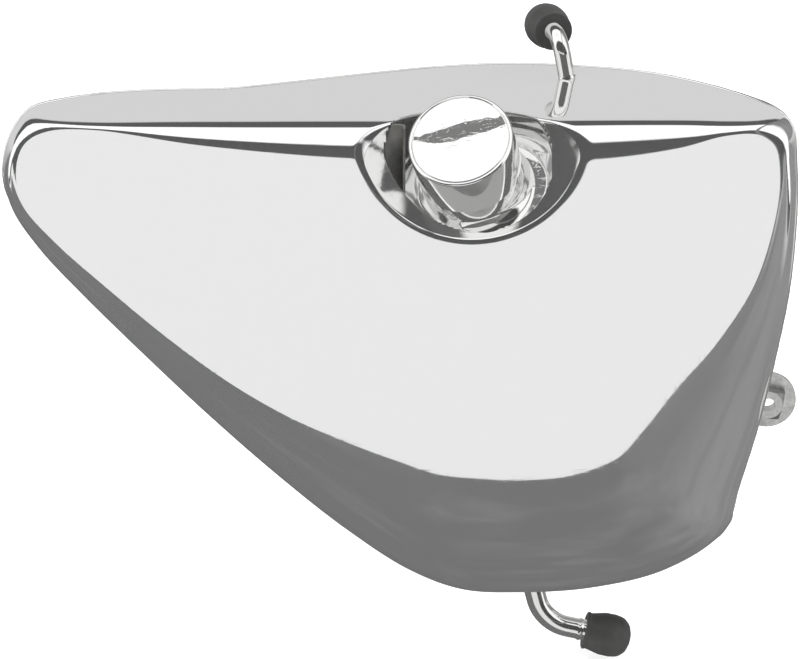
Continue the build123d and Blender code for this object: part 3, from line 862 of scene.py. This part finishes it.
# Places in the studio are directions: an angle round the X axis, with 0 ahead of the face and
# 90 degrees overhead, and the direction's own X, Y or Z.
AHEAD = (0.0, -0.934, -0.358)  # the direction that the flat face shows
AHEAD_ANGLE = math.radians(-21)
ABOVE_FROM = (math.radians(-30), math.radians(-19))
ABOVE_TO = (math.radians(125), math.radians(95))
SIDE_FROM = (0.44, 0.50)       # X where the upper bands start to turn round AHEAD
END_FROM = (0.85, 0.95)        # X where all bands do
END_BACK = (0.12, 0.0)         # Y behind which they don't
PANEL_CORNER = (math.radians(-23), 0.14)    # where its corner starts to round: angle, X
PANEL_REACH = (math.radians(14), 0.25)      # from there to its lower and its right edge
PANEL_SOFT = (0.98, 1.08)
FLOOR_BEHIND = (math.radians(-162), math.radians(-148))
FLOOR_GREYS = [(0.0, 0.135), (1.0, 0.26)]
GAP_PLACE = (79.7 + 180) / 360  # of a full turn, from behind
GAP_X = -0.31
GAP_HALF = (1.3 / 360, 0.125)  # of a full turn; and along X
GAP_SOFT = (1.05, 0.92)
GAP_GREY = 0.17
WOBBLE = 0.012                 # of a full turn, in the bands' edges
FIRST_BANDS = [
    (-180, 0.70), (-172, 0.60), (-160, 0.35), (-148, 0.19), (-60, 0.90),
    (-8, 0.92), (-3, 0.045), (44, 0.04), (49, 1.25), (112, 1.25), (116, 0.045),
    (146, 0.045), (151, 0.70), (180, 0.70),
]
# what plate reflected in plate shows: a brighter, busier room
SECOND_BANDS = [
    (-180, 0.75), (-150, 0.5), (-120, 0.3), (-62, 0.35), (-45, 1.2), (-8, 1.2),
    (-3, 0.07), (34, 0.07), (38, 1.1), (74, 1.15), (78, 0.35), (84, 0.35), (88, 1.15),
    (118, 1.2), (124, 0.12), (142, 0.2), (152, 0.75), (180, 0.75),
]


def make_world():
    """A studio of soft bands for the plate to reflect, and a plain pale room to look at."""
    world = bpy.data.worlds.new("studio")
    world.use_nodes = True
    scene.world = world
    nodes, links = world.node_tree.nodes, world.node_tree.links
    nodes.clear()

    def math_node(operation, a, b=None):
        node = nodes.new("ShaderNodeMath")
        node.operation = operation
        for slot, value in enumerate((a, b)):
            if isinstance(value, (int, float)):
                node.inputs[slot].default_value = value
            elif value is not None:
                links.new(value, node.inputs[slot])
        return node.outputs["Value"]

    coords = nodes.new("ShaderNodeTexCoord").outputs["Generated"]
    split = nodes.new("ShaderNodeSeparateXYZ")
    links.new(coords, split.inputs["Vector"])
    x, y, z = (split.outputs[k] for k in "XYZ")

    def cloudy(scale, detail, roughness=0.5):
        """Noise over the directions, moved to lie around zero."""
        node = nodes.new("ShaderNodeTexNoise")
        node.inputs["Scale"].default_value = scale
        node.inputs["Detail"].default_value = detail
        node.inputs["Roughness"].default_value = roughness
        links.new(coords, node.inputs["Vector"])
        return math_node("SUBTRACT", node.outputs["Fac"], 0.5)

    def rise(value, low, high):
        """A smooth step from 0 at low to 1 at high."""
        node = nodes.new("ShaderNodeMapRange")
        node.interpolation_type = "SMOOTHSTEP"
        node.inputs["From Min"].default_value = low
        node.inputs["From Max"].default_value = high
        links.new(value, node.inputs["Value"])
        return node.outputs["Result"]

    # the bands run round the X axis, but round AHEAD above it and out to both sides
    round_x = math_node("ARCTAN2", z, math_node("MULTIPLY", y, -1.0))
    ahead = nodes.new("ShaderNodeVectorMath")
    ahead.operation = "DOT_PRODUCT"
    links.new(coords, ahead.inputs[0])
    ahead.inputs[1].default_value = AHEAD
    round_ahead = math_node("ADD", math_node("ARCCOSINE", ahead.outputs["Value"]), AHEAD_ANGLE)
    above = math_node("MULTIPLY", rise(round_x, *ABOVE_FROM), rise(round_x, *ABOVE_TO))
    to_side = math_node("ABSOLUTE", x)
    far_side = math_node("MULTIPLY", rise(to_side, *END_FROM), rise(y, *END_BACK))
    upper = math_node("MAXIMUM", math_node("MULTIPLY", above, rise(to_side, *SIDE_FROM)), far_side)
    apart = math_node("MULTIPLY", math_node("SUBTRACT", round_ahead, round_x), upper)
    around = math_node("ADD", round_x, apart)
    shift = math_node("MULTIPLY", cloudy(5.0, 3.0), WOBBLE)
    share = math_node("ADD", math_node("ADD", math_node("DIVIDE", around, 2 * math.pi), 0.5), shift)

    def bands(stops):
        """Grey by angle: each stop is degrees and a grey."""
        node = nodes.new("ShaderNodeValToRGB")
        elements = node.color_ramp.elements
        while len(elements) < len(stops):
            elements.new(0.5)
        for element, (degrees, value) in zip(elements, stops):
            element.position = (degrees + 180) / 360
            element.color = (value, value, value, 1)
        links.new(share, node.inputs["Fac"])
        return node.outputs["Color"]

    def mix(factor, a, b):
        node = nodes.new("ShaderNodeMix")
        node.data_type = "RGBA"
        links.new(factor, node.inputs["Factor"])
        for name, value in (("A", a), ("B", b)):
            if isinstance(value, float):
                node.inputs[name].default_value = (value, value, value, 1)
            else:
                links.new(value, node.inputs[name])
        return node.outputs["Result"]

    # the floor's grey, cloudy and a little lighter to the right
    clouds = math_node("MULTIPLY", cloudy(4.5, 5.0, 0.62), 1.6)
    lighter = math_node("ADD", rise(x, 0.1, 0.85), clouds)
    floor_grey = ramp(nodes, links, lighter, FLOOR_GREYS)
    # the light panel ahead ends lower down and to the right, with a round corner between
    down = math_node("DIVIDE", math_node("SUBTRACT", PANEL_CORNER[0], around), PANEL_REACH[0])
    right = math_node("DIVIDE", math_node("SUBTRACT", x, PANEL_CORNER[1]), PANEL_REACH[1])
    down, right = (math_node("POWER", math_node("MAXIMUM", way, 0.0), 2.0) for way in (down, right))
    past = rise(math_node("ADD", down, right), *PANEL_SOFT)
    past = math_node("MULTIPLY", past, math_node("SUBTRACT", 1.0, upper))
    past = math_node("MULTIPLY", past, rise(around, *FLOOR_BEHIND))
    first = mix(past, bands(FIRST_BANDS), floor_grey)
    # a dark gap between two of the overhead panels, which the filler cap shows as a lens
    from_middle = math_node("DIVIDE", math_node("SUBTRACT", share, GAP_PLACE), GAP_HALF[0])
    along = math_node("DIVIDE", math_node("SUBTRACT", x, GAP_X), GAP_HALF[1])
    lens = math_node("ADD", math_node("MULTIPLY", from_middle, from_middle),
                     math_node("MULTIPLY", along, along))
    ragged = math_node("ADD", lens, cloudy(42.0, 5.0))
    first = mix(rise(ragged, *GAP_SOFT), first, GAP_GREY)
    rays = nodes.new("ShaderNodeLightPath")
    twice = math_node("GREATER_THAN", rays.outputs["Glossy Depth"], 1.5)
    both = mix(twice, first, bands(SECOND_BANDS))

    studio = nodes.new("ShaderNodeBackground")
    links.new(both, studio.inputs["Color"])
    room = nodes.new("ShaderNodeBackground")
    room.inputs["Color"].default_value = (0.97, 0.97, 0.97, 1)
    choose = nodes.new("ShaderNodeMixShader")
    links.new(rays.outputs["Is Camera Ray"], choose.inputs["Fac"])
    links.new(studio.outputs["Background"], choose.inputs[1])
    links.new(room.outputs["Background"], choose.inputs[2])
    output = nodes.new("ShaderNodeOutputWorld")
    links.new(choose.outputs["Shader"], output.inputs["Surface"])


make_world()
LIGHT_TARGET = Vector((-0.18, 0.0, 0.0))


def soft_light(name, place, size, power):
    """A round soft light, aimed at the tank's middle and not mirrored in the plate."""
    light = bpy.data.lights.new(name, "AREA")
    light.shape = "DISK"
    light.size = size
    light.energy = power
    obj = bpy.data.objects.new(name, light)
    scene.collection.objects.link(obj)
    obj.location = place
    obj.rotation_euler = (LIGHT_TARGET - Vector(place)).to_track_quat("-Z", "Y").to_euler()
    obj.visible_glossy = False


soft_light("key_light", (-0.9, -1.4, 1.9), 1.2, 26.0)
soft_light("fill_light", (1.2, 0.9, 1.6), 1.4, 16.0)

camera_data = bpy.data.cameras.new("camera")
camera_data.lens = 203.7
camera_data.sensor_width = 36.0
camera_data.clip_end = 60.0
camera = bpy.data.objects.new("camera", camera_data)
camera.location = (-0.1842, -2.10323, 0.84655)
camera.rotation_euler = (math.radians(69.0), 0.0, 0.0)
scene.collection.objects.link(camera)
scene.camera = camera
